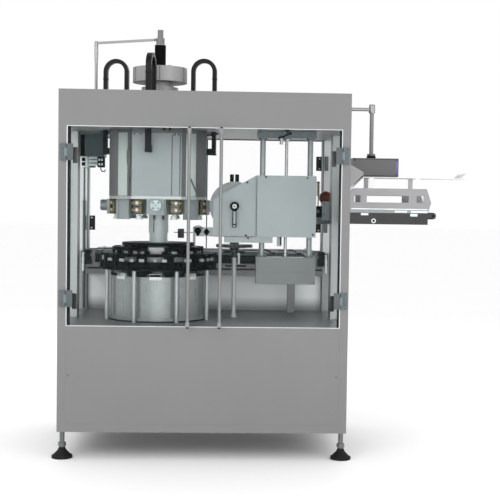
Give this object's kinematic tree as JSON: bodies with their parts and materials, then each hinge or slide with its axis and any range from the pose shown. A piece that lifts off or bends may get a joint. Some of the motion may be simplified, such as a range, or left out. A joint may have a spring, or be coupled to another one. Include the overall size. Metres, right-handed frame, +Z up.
{
  "type": "rotary capping machine",
  "caption": "Glazed floor-standing cabinet with a rotary capping turret, star wheel, rear conveyor, lift-adjusted feed unit, side magazine with hopper tray and pendant control box.",
  "frame": {"origin": "on the floor, midway between the four feet", "axes": "+X along the conveyor to the right seen from the front doors, +Y to the back, +Z up"},
  "size_m": [2.06, 0.949, 2.136],
  "materials": {
    "frame_paint": "satin",
    "panel_paint": "satin",
    "deck_steel": "brushed",
    "clear_sheet": "clear",
    "foot_rubber": "matte",
    "zinc_steel": "satin",
    "black_coat": "matte",
    "bright_steel": "brushed",
    "black_plastic": "matte",
    "star_plastic": "satin",
    "cast_housing": "satin",
    "chain_plastic": "satin",
    "valve_coat": "satin",
    "dark_steel": "satin",
    "white_coat": "satin",
    "drum_cover_coat": "satin",
    "pipe_black": "satin",
    "brass_parts": "satin",
    "handle_steel": "brushed",
    "lever_black": "satin",
    "control_coat": "satin",
    "ball_plastic": "gloss"
  },
  "bodies": {
    "cabinet": {"frame": "frame_paint", "lower_panels": "panel_paint", "deck_plate": "deck_steel", "ceiling_plate": "deck_steel", "header_covers": "panel_paint", "roof_plate": "panel_paint", "side_windows": "clear_sheet", "foot_pads": "foot_rubber", "foot_stems": "zinc_steel", "hinge_leaves": "black_coat", "base_drum": "bright_steel", "drum_hatch": "bright_steel", "support_posts": "bright_steel", "table_ring": "black_plastic", "shaft_bearings": "cast_housing", "conveyor_frame": "bright_steel", "conveyor_chain": "chain_plastic", "guide_rails": "bright_steel", "lift_frame": "bright_steel", "torque_arm": "bright_steel", "valve_box": "valve_coat", "magazine_channel": "dark_steel", "magazine_guard": "bright_steel", "magazine_belt": "black_plastic", "hopper_tray": "white_coat", "pendant_arm": "bright_steel", "gear_motor": "cast_housing", "guide_stand": "dark_steel", "knob_bracket": "dark_steel"},
    "turret": {"turret_shaft": "bright_steel", "turret_gear": "cast_housing", "star_plates": "star_plastic", "neck_plates": "star_plastic", "turret_column": "bright_steel", "head_plate": "bright_steel", "head_blocks": "bright_steel", "drum_shell": "bright_steel", "drum_covers": "drum_cover_coat", "manifold": "bright_steel", "air_pipes": "pipe_black"},
    "heads": {"capping_heads": "brass_parts"},
    "front_door_left": {"front_door_left": "clear_sheet", "door_fittings_left": "handle_steel"},
    "front_door_right": {"front_door_right": "clear_sheet", "door_fittings_right": "handle_steel"},
    "rear_door_left": {"rear_door_left": "clear_sheet"},
    "rear_door_right": {"rear_door_right": "clear_sheet"},
    "cap_star": {"cap_star": "bright_steel"},
    "drive_pinion": {"drive_pinion": "zinc_steel"},
    "conveyor_drive": {"conveyor_drive_roller": "black_plastic"},
    "conveyor_idler": {"conveyor_idler_roller": "black_plastic"},
    "lift_screw": {"lift_spindle": "bright_steel"},
    "carriage": {"carriage_plate": "bright_steel", "feed_housing": "cast_housing"},
    "feed_rotor": {"feed_disc": "bright_steel"},
    "clamp": {"clamp_lever": "lever_black"},
    "pendant": {"control_box": "control_coat"},
    "magazine_drive": {"magazine_drive_roller": "black_plastic"},
    "magazine_idler": {"magazine_idler_roller": "black_plastic"},
    "plunger": {"ball_plunger": "ball_plastic"}
  },
  "joints": [
    {"name": "turret_spin", "type": "hinge", "parent": "cabinet", "child": "turret", "pos_m": [-0.242, 0, 1], "axis": [0, 0, 1], "continuous": true},
    {"name": "head_stroke", "type": "slide", "parent": "turret", "child": "heads", "axis": [0, 0, 1], "range_m": [-0.025, 0]},
    {"name": "front_door_left_swing", "type": "hinge", "parent": "cabinet", "child": "front_door_left", "pos_m": [-0.666, -0.449, 1.127], "axis": [0, 0, 1], "range_deg": [-110, 0]},
    {"name": "front_door_right_swing", "type": "hinge", "parent": "cabinet", "child": "front_door_right", "pos_m": [0.666, -0.449, 1.127], "axis": [0, 0, 1], "range_deg": [0, 110]},
    {"name": "rear_door_left_swing", "type": "hinge", "parent": "cabinet", "child": "rear_door_left", "pos_m": [-0.666, 0.449, 1.296], "axis": [0, 0, 1], "range_deg": [0, 110]},
    {"name": "rear_door_right_swing", "type": "hinge", "parent": "cabinet", "child": "rear_door_right", "pos_m": [0.666, 0.449, 1.296], "axis": [0, 0, 1], "range_deg": [-110, 0]},
    {"name": "cap_star_spin", "type": "hinge", "parent": "cabinet", "child": "cap_star", "pos_m": [0.15502, 0.04875, 1.027], "axis": [0, 0, 1], "continuous": true},
    {"name": "drive_pinion_spin", "type": "hinge", "parent": "cabinet", "child": "drive_pinion", "pos_m": [-0.54149, -0.22568, 0.573], "axis": [0, 0, 1], "continuous": true},
    {"name": "conveyor_drive_spin", "type": "hinge", "parent": "cabinet", "child": "conveyor_drive", "pos_m": [0.628, 0.346, 0.939], "axis": [0, 1, 0], "continuous": true},
    {"name": "conveyor_idler_spin", "type": "hinge", "parent": "cabinet", "child": "conveyor_idler", "pos_m": [-0.628, 0.346, 0.939], "axis": [0, 1, 0], "continuous": true},
    {"name": "crank_turn", "type": "hinge", "parent": "cabinet", "child": "lift_screw", "pos_m": [0.406, -0.205, 1.3], "axis": [0, 0, 1], "range_deg": [-900, 1440]},
    {"name": "carriage_lift", "type": "slide", "parent": "cabinet", "child": "carriage", "axis": [0, 0, 1], "range_m": [-0.05, 0.08]},
    {"name": "feed_disc_spin", "type": "hinge", "parent": "carriage", "child": "feed_rotor", "pos_m": [0.147, -0.205, 1.232], "axis": [0, 1, 0], "continuous": true},
    {"name": "clamp_turn", "type": "hinge", "parent": "carriage", "child": "clamp", "pos_m": [0.147, -0.256, 1.232], "axis": [0, 1, 0], "range_deg": [-60, 60]},
    {"name": "pendant_swivel", "type": "hinge", "parent": "cabinet", "child": "pendant", "pos_m": [0.879, 0.1, 1.756], "axis": [0, 0, 1], "range_deg": [-20, 60]},
    {"name": "magazine_drive_spin", "type": "hinge", "parent": "cabinet", "child": "magazine_drive", "pos_m": [1.158, -0.08, 1.196], "axis": [0, 1, 0], "continuous": true},
    {"name": "magazine_idler_spin", "type": "hinge", "parent": "cabinet", "child": "magazine_idler", "pos_m": [0.726, -0.08, 1.196], "axis": [0, 1, 0], "continuous": true},
    {"name": "plunger_pull", "type": "slide", "parent": "cabinet", "child": "plunger", "axis": [0, 0, 1], "range_m": [-0.01, 0], "stiffness_N_per_m": 1500, "springref_m": 0.004}
  ],
  "couplings": [
    {"joint": "cap_star_spin", "follows": "turret_spin", "ratio": -3},
    {"joint": "drive_pinion_spin", "follows": "turret_spin", "ratio": -4},
    {"joint": "conveyor_idler_spin", "follows": "conveyor_drive_spin", "ratio": 1},
    {"joint": "magazine_idler_spin", "follows": "magazine_drive_spin", "ratio": 1},
    {"joint": "crank_turn", "follows": "carriage_lift", "rad_per_m": 314.16}
  ]
}
